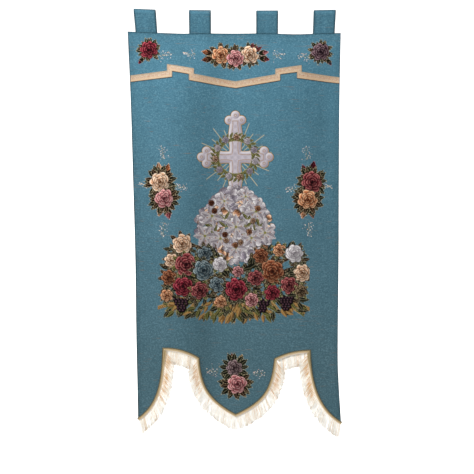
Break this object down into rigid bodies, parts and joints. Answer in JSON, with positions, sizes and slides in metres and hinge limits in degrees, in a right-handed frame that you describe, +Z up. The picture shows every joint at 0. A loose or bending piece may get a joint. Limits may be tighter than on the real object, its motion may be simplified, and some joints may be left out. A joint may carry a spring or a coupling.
{
  "type": "church banner",
  "caption": "Woven tapestry banner with hanging tabs, soft upright folds, a stepped galloon band and a lower edge cut in tails and a point, with gold gimp and cream fringe.",
  "frame": {"origin": "on the line of the rod that the tabs hang on, above the middle of the panel", "axes": "+X to the right of a viewer who faces the banner, along the rod; +Y to the back, away from the viewer; +Z up"},
  "size_m": [0.6646, 0.039, 1.3293],
  "materials": {
    "tapestry": "teal woven tapestry with a light lurex fleck",
    "tab_cloth": "teal woven tapestry",
    "galloon": "cream and gold woven ribbon",
    "gimp": "gold metallic braid",
    "fringe": "cream rayon fringe"
  },
  "bodies": {
    "root": {"panel": "tapestry", "tab_1": "tab_cloth", "tab_2": "tab_cloth", "tab_3": "tab_cloth", "tab_4": "tab_cloth", "galloon": "galloon", "gimp": "gimp", "fringe_left_tail": "fringe", "fringe_left_notch": "fringe", "fringe_middle_left": "fringe", "fringe_middle_right": "fringe", "fringe_right_notch": "fringe", "fringe_right_tail": "fringe"}
  },
  "joints": []
}
